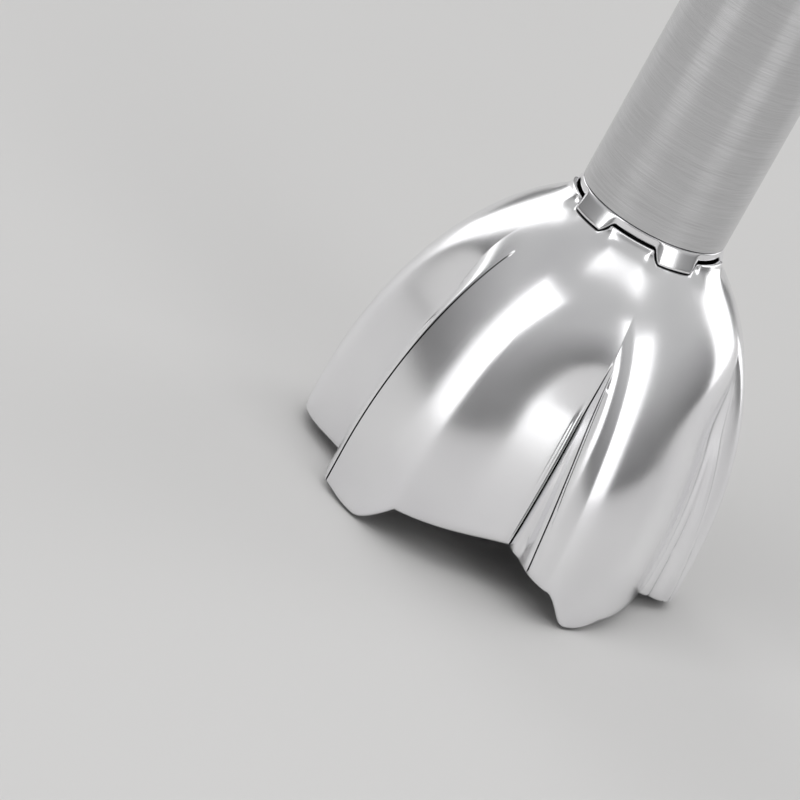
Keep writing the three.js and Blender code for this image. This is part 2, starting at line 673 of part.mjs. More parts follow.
function addButtons() {
  add('power_button', pushButton(7, POWER_Z), polishedSteel);
  add('turbo_button', pushButton(5, TURBO_Z), greyPlastic);
  const coil = (z) => spring(3.6, 0.4, -22.8, -17.7, 3).rotateX(-Math.PI / 2).translate(0, 0, z);
  add('power_button_spring', coil(POWER_Z), machinedSteel);
  add('turbo_button_spring', coil(TURBO_Z), machinedSteel);
  for (const [name, sign] of [['right', 1], ['left', -1]]) {
    const turn = sign > 0 ? 0 : Math.PI;
    const pad = box(21.4, -6.5, RELEASE_Z - 4.8, 27.8, 6.5, RELEASE_Z + 4.8).rotateZ(turn);
    add(`release_button_${name}`, pad, greyPlastic);
    const coilX = spring(3, 0.4, 15.2, 21.2, 3).rotateY(Math.PI / 2).translate(0, 0, RELEASE_Z);
    add(`release_spring_${name}`, coilX.rotateZ(turn), machinedSteel);
  }
}

// The dial's rim carries shallow grip scallops.
function dialShape() {
  const scallops = 18;
  const points = [];
  for (let i = 0; i < scallops; i += 1) {
    const start = (i / scallops) * 360;
    points.push([17.7, start - 4], [17.7, start + 4], [16.9, start + 10]);
  }
  return outlineShape(points);
}

function addDial() {
  const knob = prism(dialShape(), CAP.recessFloor + 0.4, DIAL_TOP);
  const spindle = rod(2.9, 376, CAP.recessFloor + 1);
  add('speed_dial', join(knob, spindle), greyPlastic);
}

addBell();
addCollar();
addTube();
addLowerBearing();
addUpperBearing();
addSocket();
addBladeDrive();
addCasingTrim();
addShells();
addStator();
addBearings();
addArmature();
addBrushes();
addElectronics();
addButtons();
addDial();

export default model;
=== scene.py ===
"""Looks of the immersion blender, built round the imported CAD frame.

Metres, +Z up. Angles round the bell are counted in degrees from the front, -Y, towards +X, and
depths are counted downwards from the seam between the tube and the collar.
"""

import json
import math

import bmesh
import bpy
from mathutils import Matrix, Vector


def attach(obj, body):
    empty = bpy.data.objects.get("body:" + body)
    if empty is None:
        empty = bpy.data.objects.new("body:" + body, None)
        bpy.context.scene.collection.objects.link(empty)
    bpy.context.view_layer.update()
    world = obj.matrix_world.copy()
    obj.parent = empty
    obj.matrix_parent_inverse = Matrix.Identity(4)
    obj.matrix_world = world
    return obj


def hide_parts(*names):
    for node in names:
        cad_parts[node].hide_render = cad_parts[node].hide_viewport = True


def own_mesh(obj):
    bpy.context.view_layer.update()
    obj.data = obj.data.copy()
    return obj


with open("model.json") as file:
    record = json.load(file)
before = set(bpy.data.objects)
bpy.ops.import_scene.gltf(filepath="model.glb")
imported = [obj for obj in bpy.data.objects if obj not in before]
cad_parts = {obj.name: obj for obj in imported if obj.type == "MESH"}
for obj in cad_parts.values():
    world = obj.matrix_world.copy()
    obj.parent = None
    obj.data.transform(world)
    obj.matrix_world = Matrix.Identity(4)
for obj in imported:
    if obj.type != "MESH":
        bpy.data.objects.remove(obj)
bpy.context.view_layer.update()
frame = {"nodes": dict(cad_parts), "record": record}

MM = 0.001

# ---- driving sizes, in millimetres --------------------------------------------------------

SEAM_Z = 61.0
BELL_RADIUS = 34.82      # just under the CAD's 35, to keep the smooth crests inside its box
DOME_CENTRE = 54.0
DOME_HEIGHT = 54.9
BELL_WALL = 1.0
NECK_BORE = 9.8
SHOULDER = 3.7
NOTCH_LIFT = 2.0
NOTCH_CENTRE = -4.5
NOTCH_HALF_WIDTH = 20.0
NOTCH_EDGE = 8.0
NOTCH_SPREAD = 6.0
PETALS = 5
PITCH = 360 / PETALS
WALL_START_TOP = 13.5    # degrees: foot of a pleat wall high up
WALL_START_RIM = 10.3    # and at the rim
WALL_END = 24.0          # its crest
RECESS = 5.8
RECESS_START = 6.5
RECESS_RUN = 11.6
EASE_START = 8.0
EASE_RUN = 22.0
TIP_AT = 0.24
CUSP_AT = 0.42
# Height of each arch between two petals: at the foot of the pleat wall and at its crest.
ARCHES = ((8.4, 5.6), (2.4, 0.8), (5.5, 3.5), (5.5, 3.5), (2.4, 0.8))
# Share of each petal's width before its surface turns inwards.
SHOULDERS = (0.0, 0.35, 0.35, 0.5, 0.36)
# 1 where the crest after a pleat is soft, 0 where it is a crisp fold.
SOFT_CRESTS = (1, 1, 1, 1, 0)
# Where the bead beside each pleat starts, as a share of the petal's width, and where all end.
BEAD_STARTS = (0.905, 0.965, 0.95, 0.95, 0.955)
BEAD_END = 0.992
# The groove beside the crisp crest: place and half width as shares of the petal, depth in mm.
SLIT_AT = 0.012
SLIT_HALF_WIDTH = 0.005
SLIT_DEPTH = 0.9


def smooth(t):
    u = min(1.0, max(0.0, t))
    return u * u * (3 - 2 * u)


def mix(a, b, t):
    return a + (b - a) * t


def ramp(t, start, end):
    """0 before start, 1 after end."""
    return min(1.0, max(0.0, (t - start) / (end - start)))


# ---- mesh helpers -------------------------------------------------------------------------

def new_object(name, verts, faces, smooth_angle=None):
    mesh = bpy.data.meshes.new(name)
    mesh.from_pydata([(x * MM, y * MM, z * MM) for x, y, z in verts], [], faces)
    mesh.validate()
    obj = bpy.data.objects.new(name, mesh)
    bpy.context.scene.collection.objects.link(obj)
    work = bmesh.new()
    work.from_mesh(mesh)
    bmesh.ops.remove_doubles(work, verts=work.verts, dist=1e-7)
    bmesh.ops.recalc_face_normals(work, faces=work.faces)
    work.to_mesh(mesh)
    work.free()
    shade(obj, smooth_angle)
    return obj


def shade(obj, smooth_angle):
    for polygon in obj.data.polygons:
        polygon.use_smooth = True
    if smooth_angle is not None:
        obj.data.set_sharp_from_angle(angle=math.radians(smooth_angle))


def grid_object(name, columns, smooth_angle=None):
    """A closed skin over a ring of closed outlines."""
    count, rows = len(columns), len(columns[0])
    verts = [p for column in columns for p in column]
    faces = []
    for i in range(count):
        for j in range(rows):
            a = i * rows + j
            b = i * rows + (j + 1) % rows
            c = (i + 1) % count * rows + (j + 1) % rows
            d = (i + 1) % count * rows + j
            faces.append((a, b, c, d))
    return new_object(name, verts, faces, smooth_angle)


def loft(name, sections, smooth_angle=30):
    """A solid through closed sections, capped at both ends."""
    count = len(sections[0])
    verts = [p for section in sections for p in section]
    faces = [tuple(range(count)), tuple(range(len(verts) - count, len(verts)))]
    for i in range(len(sections) - 1):
        for j in range(count):
            a = i * count + j
            b = i * count + (j + 1) % count
            faces.append((a, b, b + count, a + count))
    return new_object(name, verts, faces, smooth_angle)


def finish_piece(obj, body, slot, *nodes):
    obj.data.materials.clear()
    obj.data.materials.append(MATERIALS[slot])
    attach(obj, body)
    if nodes:
        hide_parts(*nodes)
    return obj


def fillet(outline, radius, steps=4):
    """A closed outline with its corners rounded."""
    points = [Vector(p) for p in outline]
    rounded = []
    for i, corner in enumerate(points):
        before, after = points[i - 1] - corner, points[(i + 1) % len(points)] - corner
        turn = before.angle(after, math.pi)
        if math.pi - turn < 0.05:
            rounded.append(corner)
            continue
        reach = min(radius / math.tan(turn / 2), 0.45 * before.length, 0.45 * after.length)
        start, end = corner + before.normalized() * reach, corner + after.normalized() * reach
        for k in range(steps + 1):
            t = k / steps
            rounded.append(start * (1 - t) ** 2 + corner * 2 * t * (1 - t) + end * t ** 2)
    return rounded


def turned(name, outline, radius=0.3, sides=96, axis="Z", centre=(0, 0, 0), shape=None):
    """A turned piece from a closed [radius, height] outline, its corners rounded.

    shape(radius, angle) may change a point's radius with its angle in degrees.
    """
    points = fillet(outline, radius)
    columns = []
    for i in range(sides):
        degrees = 360 * i / sides
        c, s = math.cos(math.radians(degrees)), math.sin(math.radians(degrees))
        column = []
        for r, h in points:
            r = max(r, 0.0)
            r = shape(r, degrees, h) if shape else r
            place = {"Z": (r * c, r * s, h), "Y": (r * c, h, r * s), "X": (h, r * c, r * s)}[axis]
            column.append(tuple(a + b for a, b in zip(place, centre)))
        columns.append(column)
    return grid_object(name, columns, 35)


def prism(name, outline, low, high, plane="XY"):
    """An outline in the XY or XZ plane, extruded along the third axis."""
    count = len(outline)
    verts = [(a, b, t) if plane == "XY" else (a, t, b) for t in (low, high) for a, b in outline]
    faces = [tuple(range(count)), tuple(range(count, 2 * count))]
    faces += [(i, (i + 1) % count, (i + 1) % count + count, i + count) for i in range(count)]
    return new_object(name, verts, faces, 35)


def block(name, low, high):
    corners = [(low[0], low[1]), (high[0], low[1]), (high[0], high[1]), (low[0], high[1])]
    return prism(name, corners, low[2], high[2])


def soften(obj, width, segments=2):
    """A small bevel along the sharp edges."""
    modifier = obj.modifiers.new("edges", "BEVEL")
    modifier.width = width * MM
    modifier.segments = segments
    modifier.limit_method = "ANGLE"
    modifier.angle_limit = math.radians(38)
    modifier.use_clamp_overlap = True
    return obj


def carve(obj, tool, operation="DIFFERENCE"):
    """Cut one mesh with another, or join them, and delete the tool."""
    modifier = obj.modifiers.new("carve", "BOOLEAN")
    modifier.operation = operation
    modifier.solver = "EXACT"
    modifier.object = tool
    graph = bpy.context.evaluated_depsgraph_get()
    mesh = bpy.data.meshes.new_from_object(obj.evaluated_get(graph))
    obj.modifiers.clear()
    obj.data = mesh
    bpy.data.objects.remove(tool)
    shade(obj, 35)
    return obj


def polar(angle, radius, height):
    a = math.radians(angle)
    return (radius * math.sin(a), -radius * math.cos(a), height)


# ---- materials ----------------------------------------------------------------------------

def link(tree, a, b):
    tree.links.new(a, b)


def new_material(name, base, roughness, metallic=0.0, **sockets):
    material = bpy.data.materials.new(name)
    material.use_nodes = True
    shader = material.node_tree.nodes["Principled BSDF"]
    shader.inputs["Base Color"].default_value = (*base, 1)
    shader.inputs["Roughness"].default_value = roughness
    shader.inputs["Metallic"].default_value = metallic
    for key, value in sockets.items():
        shader.inputs[key.replace("_", " ")].default_value = value
    return material, material.node_tree, shader


def coordinates(tree, scale):
    where = tree.nodes.new("ShaderNodeTexCoord")
    mapping = tree.nodes.new("ShaderNodeMapping")
    mapping.inputs["Scale"].default_value = scale
    link(tree, where.outputs["Object"], mapping.inputs["Vector"])
    return mapping.outputs["Vector"]


def noise(tree, scale, size=1.0, detail=3.0, roughness=0.5):
    node = tree.nodes.new("ShaderNodeTexNoise")
    node.inputs["Scale"].default_value = size
    node.inputs["Detail"].default_value = detail
    node.inputs["Roughness"].default_value = roughness
    link(tree, coordinates(tree, scale), node.inputs["Vector"])
    return node.outputs["Fac"]


def spread(tree, value, low, high, from_low=0.3, from_high=0.7):
    node = tree.nodes.new("ShaderNodeMapRange")
    node.inputs["From Min"].default_value = from_low
    node.inputs["From Max"].default_value = from_high
    node.inputs["To Min"].default_value = low
    node.inputs["To Max"].default_value = high
    link(tree, value, node.inputs["Value"])
    return node.outputs["Result"]


def tint(tree, value, low, high):
    node = tree.nodes.new("ShaderNodeValToRGB")
    node.color_ramp.elements[0].position = 0.3
    node.color_ramp.elements[1].position = 0.7
    node.color_ramp.elements[0].color = (*low, 1)
    node.color_ramp.elements[1].color = (*high, 1)
    link(tree, value, node.inputs["Fac"])
    return node.outputs["Color"]


def bump(tree, shader, value, strength, distance):
    node = tree.nodes.new("ShaderNodeBump")
    node.inputs["Strength"].default_value = strength
    node.inputs["Distance"].default_value = distance
    link(tree, value, node.inputs["Height"])
    link(tree, node.outputs["Normal"], shader.inputs["Normal"])


# A Mix node has several sockets of one name, so its colour sockets are reached by number.
MIX_COLOUR_A, MIX_COLOUR_B, MIX_COLOUR_RESULT = 6, 7, 2
# Painted shade for the grooves and gaps of polished steel: how far the occlusion reaches, and the dark
# colour it paints.
PAINTED_SHADE_REACH = 1.2 * MM
PAINTED_SHADE_COLOUR = (0.02, 0.02, 0.022, 1)


def paint_crevice_shade(tree, colour):
    """The colour with painted shade: darker where the surface lies in a narrow gap or groove."""
    gap = tree.nodes.new("ShaderNodeAmbientOcclusion")
    gap.samples = 8
    gap.inputs["Distance"].default_value = PAINTED_SHADE_REACH
    shade_of = spread(tree, gap.outputs["AO"], 0.12, 1.0, 0.35, 0.8)
    blend = tree.nodes.new("ShaderNodeMix")
    blend.data_type = "RGBA"
    blend.inputs[MIX_COLOUR_A].default_value = PAINTED_SHADE_COLOUR
    link(tree, shade_of, blend.inputs["Factor"])
    link(tree, colour, blend.inputs[MIX_COLOUR_B])
    return blend.outputs[MIX_COLOUR_RESULT]


def polished_steel():
    material, tree, shader = new_material("polished_steel", (0.9, 0.9, 0.92), 0.1, 1.0)
    haze = noise(tree, (60, 60, 60), 1.0, 4.0)
    steel = tint(tree, haze, (0.86, 0.855, 0.875), (0.93, 0.93, 0.94))
    # Painted shade: the steel's colour is darkened in its grooves and gaps.
    link(tree, paint_crevice_shade(tree, steel), shader.inputs["Base Color"])
    link(tree, spread(tree, haze, 0.15, 0.22), shader.inputs["Roughness"])
    lines = noise(tree, (900, 900, 9000), 1.0, 2.0)
    bump(tree, shader, lines, 0.03, 0.00002)
    return material


def brushed_steel():
    material, tree, shader = new_material("brushed_steel", (0.66, 0.66, 0.67), 0.2, 1.0, Anisotropic=0.8)
    hairlines = noise(tree, (130, 130, 16000), 1.0, 3.0, 0.6)
    link(tree, tint(tree, hairlines, (0.50, 0.50, 0.505), (0.70, 0.70, 0.71)), shader.inputs["Base Color"])
    link(tree, spread(tree, hairlines, 0.17, 0.25), shader.inputs["Roughness"])
    bump(tree, shader, hairlines, 0.12, 0.00004)
    shader.inputs["Anisotropic Rotation"].default_value = 0.25
    tangent = tree.nodes.new("ShaderNodeTangent")
    tangent.direction_type = "RADIAL"
    tangent.axis = "Z"
    link(tree, tangent.outputs["Tangent"], shader.inputs["Tangent"])
    return material


def turned_metal(name, low, high, roughness):
    material, tree, shader = new_material(name, low, roughness, 1.0)
    lines = noise(tree, (260, 260, 7000), 1.0, 3.0)
    link(tree, tint(tree, lines, low, high), shader.inputs["Base Color"])
    link(tree, spread(tree, lines, roughness - 0.06, roughness + 0.08), shader.inputs["Roughness"])
    bump(tree, shader, lines, 0.1, 0.00004)
    return material


def moulded_plastic(name, low, high, roughness, grain=2600):
    material, tree, shader = new_material(name, low, roughness)
    cloud = noise(tree, (45, 45, 45), 1.0, 4.0)
    fine = noise(tree, (grain, grain, grain), 1.0, 2.0)
    link(tree, tint(tree, cloud, low, high), shader.inputs["Base Color"])
    link(tree, spread(tree, cloud, roughness - 0.05, roughness + 0.07), shader.inputs["Roughness"])
    bump(tree, shader, fine, 0.25, 0.00005)
    return material


def soft_rubber():
    material, tree, shader = new_material("soft_rubber", (0.03, 0.03, 0.032), 0.75)
    dust = noise(tree, (120, 120, 120), 1.0, 5.0, 0.6)
    link(tree, tint(tree, dust, (0.022, 0.022, 0.024), (0.04, 0.04, 0.043)), shader.inputs["Base Color"])
    link(tree, spread(tree, dust, 0.66, 0.82), shader.inputs["Roughness"])
    bump(tree, shader, noise(tree, (4000, 4000, 4000), 1.0, 2.0), 0.3, 0.00004)
    return material


MATERIALS = {
    "steel_polished": polished_steel(),
    "steel_brushed": brushed_steel(),
    "steel_blade": turned_metal("ground_steel", (0.58, 0.58, 0.59), (0.74, 0.74, 0.75), 0.24),
    "steel_machined": turned_metal("machined_steel", (0.45, 0.455, 0.47), (0.62, 0.62, 0.64), 0.34),
    "trim_chrome": turned_metal("trim_chrome", (0.78, 0.78, 0.8), (0.85, 0.85, 0.87), 0.14),
    "bronze": turned_metal("sintered_bronze", (0.5, 0.33, 0.15), (0.66, 0.46, 0.24), 0.45),
    "copper": turned_metal("winding_copper", (0.55, 0.25, 0.12), (0.75, 0.4, 0.22), 0.4),
    "carbon": moulded_plastic("pressed_carbon", (0.06, 0.06, 0.062), (0.1, 0.1, 0.1), 0.7),
    "laminate": turned_metal("laminations", (0.2, 0.205, 0.215), (0.36, 0.365, 0.38), 0.5),
    "plastic_dark": moulded_plastic("dark_moulding", (0.035, 0.036, 0.04), (0.05, 0.051, 0.056), 0.42),
    "plastic_grey": moulded_plastic("grey_moulding", (0.26, 0.27, 0.29), (0.32, 0.33, 0.35), 0.45),
    "rubber": soft_rubber(),
    "circuit_board": moulded_plastic("solder_mask", (0.03, 0.2, 0.08), (0.05, 0.27, 0.12), 0.5),
}

# ---- bell ---------------------------------------------------------------------------------

def dome_radius(depth):
    x = min(1.0, (depth + DOME_HEIGHT - DOME_CENTRE) / DOME_HEIGHT)
    return BELL_RADIUS * math.sqrt(max(0.0, 1 - (1 - x) ** 2))


def notch(angle, below=0.0):
    """1 inside a collar notch and 0 on the pads; its edges are softer below the notch's lip."""
    off = abs((angle - NOTCH_CENTRE + PITCH / 2) % PITCH - PITCH / 2)
    edge = NOTCH_EDGE + NOTCH_SPREAD * below
    return smooth((NOTCH_HALF_WIDTH - off) / edge + 0.5)


def shoulder_depth(angle):
    return SHOULDER - NOTCH_LIFT * notch(angle)


def pleat_fade(depth):
    below = max(0.0, depth - RECESS_START)
    return (1 - math.exp(-below / RECESS_RUN)) * smooth((depth - EASE_START) / EASE_RUN)


def edge_height(petal, on_petal, along):
    foot, crest = ARCHES[petal]
    next_foot = ARCHES[(petal + 1) % PETALS][0]
    if not on_petal:
        return mix(foot, crest, along)
    if along < TIP_AT:
        return crest * (1 - smooth(along / (TIP_AT - 0.04)))
    cusp = 0.65 * next_foot
    if along < CUSP_AT:
        return cusp * ((along - TIP_AT) / (CUSP_AT - TIP_AT)) ** 1.5
    return mix(cusp, next_foot, (along - CUSP_AT) / (1 - CUSP_AT))


def wall_recess(petal, along, depth):
    """Share of the recess left across a pleat wall, softest at the crest high up."""
    soft = mix(3.5, 1.6, ramp(depth, 12, 50))
    return (1 - along) ** mix(1.15, soft, SOFT_CRESTS[petal])


def petal_recess(petal, along):
    shoulder = SHOULDERS[petal]
    return smooth((along - shoulder) / (1 - shoulder))


def wall_columns():
    """Across a pleat wall: (knot before, knot after, share between them)."""
    steps = (4, 8, 4, 4, 9)
    return [(k, k + 1, i / n) for k, n in enumerate(steps) for i in range(n)]


def wall_knots(depth):
    """Places of the wall's creases at a depth, as shares of its width: foot, both sides of the
    V groove, the fold, the fine crease, and the crest."""
    fold = ramp(depth, 17, 58)
    groove = ramp(depth, 29, 52)
    crease = ramp(depth, 24, 58)
    left = 0.03 + 0.12 * fold
    right = left + 0.015 + 0.3 * groove
    folded = max(right + 0.03, 0.06 + 0.52 * fold)
    creased = max(folded + 0.04, 0.1 + 0.64 * crease)
    even = 1 - smooth(ramp(depth, 8, 15))
    spots = (0.0, left, right, folded, creased, 1.0)
    return [mix(spot, i / (len(spots) - 1), even) for i, spot in enumerate(spots)]


def wall_place(column, depth):
    """(share of the wall's width, relief inwards in mm) of one column of a pleat wall."""
    before, after, share = column
    knots = wall_knots(depth)
    along = mix(knots[before], knots[after], share)
    sharp = ramp(depth, 18, 26)
    relief = 0.9 * ramp(depth, 31, 50) * (1 - abs(2 * share - 1)) if before == 1 else 0.0
    if share == 0:
        relief += (0.35, 0.0, 0.0, 0.35, 0.16)[before] * sharp
    return along, relief


def facet_recess(petal, column, depth):
    """Recess across the wall, with flat facets between its creases and a soft crest."""
    before, after, share = column
    knots = wall_knots(depth)
    if after == len(knots) - 1:
        return wall_recess(petal, mix(knots[before], 1.0, share), depth)
    return mix(wall_recess(petal, knots[before], depth), wall_recess(petal, knots[after], depth), share)


def petal_shares():
    """Places along a petal: even in the middle, closer at a collar notch and at the bead."""
    shares = [i / 32 for i in range(28)] + [0.335 + 0.01 * i for i in range(10)]
    shares += [0.88 + 0.12 * i / 26 for i in range(26)]
    shares += [SLIT_AT + SLIT_HALF_WIDTH * k for k in (-1, 0, 1)]
    shares += [TIP_AT, CUSP_AT, TIP_AT - 0.02, TIP_AT + 0.02, CUSP_AT + 0.02]
    return sorted(set(shares))


def bead(petal, along, depth, bottom):
    """The raised bead along a petal's inner end, as height in mm."""
    start = BEAD_STARTS[petal]
    length = smooth(ramp(depth, 25, 33)) * smooth(ramp(bottom - depth, 1.2, 2.4))
    edge = (BEAD_END - start) / 3
    return 0.35 * length * smooth((along - start) / edge) * smooth((BEAD_END - along) / edge)


def slit(petal, along, depth):
    """The thin dark line beside the crisp crest, as a depth in mm."""
    if SOFT_CRESTS[petal]:
        return 0.0
    across = 1 - abs(along - SLIT_AT) / SLIT_HALF_WIDTH
    return SLIT_DEPTH * ramp(depth, 12.5, 15) * max(0.0, across)


def wall_foot(depth):
    return mix(WALL_START_TOP, WALL_START_RIM, ramp(depth, 18, 58))


def surface(kind, column, petal, depth, bottom):
    """(angle, radius) of a bell column at a depth."""
    fade = pleat_fade(depth)
    foot = wall_foot(depth)
    if kind == "wall":
        along, relief = wall_place(column, depth)
        angle = petal * PITCH + mix(foot, WALL_END, along)
        inward = RECESS * fade * facet_recess(petal, column, depth) + relief
    else:
        angle = petal * PITCH + mix(WALL_END, PITCH + foot, column)
        inward = RECESS * fade * petal_recess(petal, column) - bead(petal, column, depth, bottom)
        inward += slit(petal, column, depth)
    below = max(0.0, depth - SHOULDER + NOTCH_LIFT)
    climb = NOTCH_LIFT * notch(angle, below) * math.exp(-below / 2)
    return angle, dome_radius(depth + climb) - inward


def bell_column(kind, column, petal):
    rows = 56
    if kind == "wall":
        share, _ = wall_place(column, 58)
        bottom = SEAM_Z - edge_height(petal, False, share)
    else:
        bottom = SEAM_Z - edge_height(petal, True, column)
    crown_angle, _ = surface(kind, column, petal, 0, bottom)
    top = shoulder_depth(crown_angle)
    edge = BELL_WALL / 2
    outer, inner = [], []
    for i in range(rows + 1):
        depth = mix(top + 0.22, bottom - edge, (i / rows) ** 1.3)
        angle, radius = surface(kind, column, petal, depth, bottom)
        _, below = surface(kind, column, petal, depth + 0.05, bottom)
        slope = (below - radius) / 0.05
        long = math.hypot(1, slope)
        outer.append(polar(angle, radius, SEAM_Z - depth))
        inner_depth = depth if i == rows else depth + BELL_WALL * slope / long
        if i > 8:
            inner.append(polar(angle, radius - BELL_WALL / long, SEAM_Z - inner_depth))
    angle, radius = surface(kind, column, petal, bottom - edge, bottom)
    rim = []
    for k in range(1, 4):
        across, down = edge * math.cos(math.pi * k / 4), edge * math.sin(math.pi * k / 4)
        rim.append(polar(angle, radius - edge + across, SEAM_Z - bottom + edge - down))
    under = SEAM_Z - top - BELL_WALL
    neck = [polar(crown_angle, NECK_BORE + 1.8, under), polar(crown_angle, NECK_BORE, under)]
    _, lip = surface(kind, column, petal, top, bottom)
    level, gutter = SEAM_Z - top, SEAM_Z - top - 0.6 * notch(crown_angle)
    crown = [
        polar(crown_angle, radius, height) for radius, height in (
            (NECK_BORE, gutter), (lip - 1.4, gutter), (lip - 0.9, level - 0.15), (lip - 0.5, level),
            (lip - 0.25, level), (lip - 0.06, level - 0.07),
        )
    ]
    return crown + outer + rim + inner[::-1] + neck


def build_bell():
    columns = []
    for petal in range(PETALS):
        columns += [bell_column("wall", c, petal) for c in wall_columns()]
        columns += [bell_column("petal", s, petal) for s in petal_shares()]
    bell = grid_object("pleated_bell", columns, 50)
    return finish_piece(bell, "blending_shaft", "steel_polished", "bell_guard")


build_bell()

# ---- collar and tube ----------------------------------------------------------------------

TUBE_RADIUS = 13.0
TUBE_WALL = 1.0
TUBE_TOP = 196.0
TUBE_TOP_RADIUS = 24.0
FLARE_START = 118.0
COLLAR_PAD = 14.25      # outer radius of the collar's lower edge on a pad
COLLAR_NOTCH = 13.0     # and in a notch


def collar_face(angle):
    """The collar's outer face at an angle, as (radius, depth): flared, with a rounded lower edge."""
    top, corner = TUBE_RADIUS - 0.05, 0.5
    low = shoulder_depth(angle) - 0.1
    flare = (mix(COLLAR_PAD, COLLAR_NOTCH, notch(angle)) - top) / low
    face = [(top - 0.12, 0.0)]
    for k in range(1, 9):
        depth = (low - corner) * k / 8
        face.append((top + flare * depth, depth))
    for k in range(1, 6):
        a = math.radians(18 * k)
        depth = low - corner + corner * math.sin(a)
        face.append((top + flare * depth - corner * (1 - math.cos(a)), depth))
    return face


def build_collar():
    """A ring with a rounded, flared pad reaching down between each two notches."""
    columns = []
    for i in range(720):
        face = collar_face(i / 2)
        outline = [(NECK_BORE, 0.0)] + face + [(NECK_BORE, face[-1][1])]
        columns.append([polar(i / 2, r, SEAM_Z - depth) for r, depth in outline])
    collar = grid_object("notched_collar", columns, 60)
    finish_piece(collar, "blending_shaft", "steel_polished", "shaft_collar")


def tube_radius(z):
    return mix(TUBE_RADIUS, TUBE_TOP_RADIUS, smooth((z - FLARE_START) / (TUBE_TOP - FLARE_START)))


def build_tube():
    steps = 30
    heights = [SEAM_Z + 0.1, 90] + [mix(FLARE_START, TUBE_TOP, i / steps) for i in range(steps + 1)]
    outer = [(tube_radius(z), z) for z in heights]
    inner = [(tube_radius(z) - TUBE_WALL, z) for z in heights[::-1]]
    tube = turned("brushed_tube", outer + inner, 0.2, 160)
    finish_piece(tube, "blending_shaft", "steel_brushed", "shaft_tube")


# ---- bearing, blade and coupling ----------------------------------------------------------

SHAFT_RADIUS = 2.5
SHAFT_BORE = 2.6
BUSH_SEAT = 5.2
TOWER_LOW, TOWER_TOP = 26.0, 66.0
PLUG_RADIUS = 19.4
FLANGE_Z = 200.0
PLUG_TOP = 214.0
BLADE_Z = 14.4
BLADE_THICK = 1.6
BLADE_REACH = 22.5
BLADE_BEND = 7.0
BLADE_DROP = -3.2
BLADE_RISE = 4.0


def build_tower():
    seat, pocket = TOWER_LOW + 6, 7.0
    outline = [
        (pocket, TOWER_LOW), (8.4, TOWER_LOW), (9.6, 57), (9.6, 61.2), (11.8, 61.2), (11.8, TOWER_TOP),
        (BUSH_SEAT, TOWER_TOP), (BUSH_SEAT, seat), (pocket, seat),
    ]

    def ribs(r, degrees, h):
        groove = math.cos(math.radians(12 * degrees)) > 0.6
        return r - 0.25 if groove and r > 8.2 and h < 56 else r

    tower = turned("bearing_column", outline, 0.35, 144, shape=ribs)
    finish_piece(tower, "blending_shaft", "plastic_grey", "bearing_tower")
    low = TOWER_LOW + 1.6
    lip = [
        (2.7, low), (6.9, low), (6.9, seat - 0.1), (4.5, seat - 0.1), (3.6, TOWER_LOW + 4),
        (2.7, low + 0.6),
    ]
    seal = turned("lip_seal", lip, 0.2, 72)
    finish_piece(seal, "blending_shaft", "rubber", "shaft_seal")
    washer = [(3.2, TOWER_LOW), (6.9, TOWER_LOW), (6.9, TOWER_LOW + 1.3), (3.2, TOWER_LOW + 1.3)]
    retainer = turned("seal_washer", washer, 0.2, 72)
    finish_piece(retainer, "blending_shaft", "steel_machined", "seal_retainer")


def build_socket():
    rim, r = TUBE_TOP + 0.15, PLUG_RADIUS
    groove = r - 1.2
    outline = [
        (10.5, rim), (17.5, rim), (17.5, 180.3), (20.5, 180.3), (20.5, rim), (TUBE_TOP_RADIUS, rim),
        (TUBE_TOP_RADIUS, FLANGE_Z), (r, FLANGE_Z), (r, 204), (groove, 205), (groove, 207), (r, 207),
        (r, 209), (groove, 209), (groove, 211), (r, 211), (r, 213), (r - 1, PLUG_TOP), (10.5, PLUG_TOP),
    ]
    socket = turned("coupling_plug", outline, 0.3, 128)
    finish_piece(socket, "blending_shaft", "plastic_dark", "coupling_socket")
    ring = [(r - 1.1, 209.1), (r + 0.1, 209.1), (r + 0.1, 210.9), (r - 1.1, 210.9)]
    seal = turned("plug_seal", ring, 0.7, 128)
    finish_piece(seal, "blending_shaft", "rubber", "socket_seal")


def hexagon(flat, limit):
    """Gives a turned piece six flats inside a radius, for every point closer in than the limit."""
    def shape(r, degrees, h):
        corner = flat / math.cos(math.radians((degrees + 30) % 60 - 30))
        return min(corner, limit + 0.4) if 0 < r < limit else r
    return shape


def build_drive():
    shaft = [(0, BLADE_Z - 4.9), (SHAFT_RADIUS, BLADE_Z - 4.9), (SHAFT_RADIUS, 201), (0, 201)]
    drive = turned("ground_shaft", shaft, 0.3, 64)
    finish_piece(drive, "blade_drive", "steel_machined", "drive_shaft")
    low, high = BLADE_Z + BLADE_THICK + 0.1, TOWER_LOW - 0.8
    flank = [(SHAFT_BORE, low), (5, low), (6, low + 2.9), (6, high - 1.2), (4.6, high), (SHAFT_BORE, high)]
    hub = turned("turned_hub", flank, 0.4, 96)
    finish_piece(hub, "blade_drive", "steel_machined", "blade_hub")
    dog = [(0, 196), (7.5, 196), (7.5, 207.5), (4.0, 207.5), (4.0, 202.2), (0, 202.2)]
    dog_piece = turned("socket_dog", dog, 0.35, 96, shape=hexagon(4.0, 5.0))
    finish_piece(dog_piece, "blade_drive", "plastic_grey", "driven_dog")


def build_nut():
    """A domed hexagon nut under the blade."""
    top = BLADE_Z - 0.1
    outline = [
        (0, 6.8), (1.9, 7.1), (3.4, 8.3), (4.0, 9.8), (4.1, 10.2), (4.75, 10.4), (4.75, top),
        (SHAFT_BORE, top), (SHAFT_BORE, 9.3), (0, 9.3),
    ]

    def flats(r, degrees, h):
        flat = 4.1 / math.cos(math.radians((degrees + 30) % 60 - 30))
        return min(r, flat) if r > 4.12 else r

    nut = turned("dome_nut", outline, 0.25, 120, shape=flats)
    finish_piece(nut, "blade_drive", "steel_polished", "blade_nut")


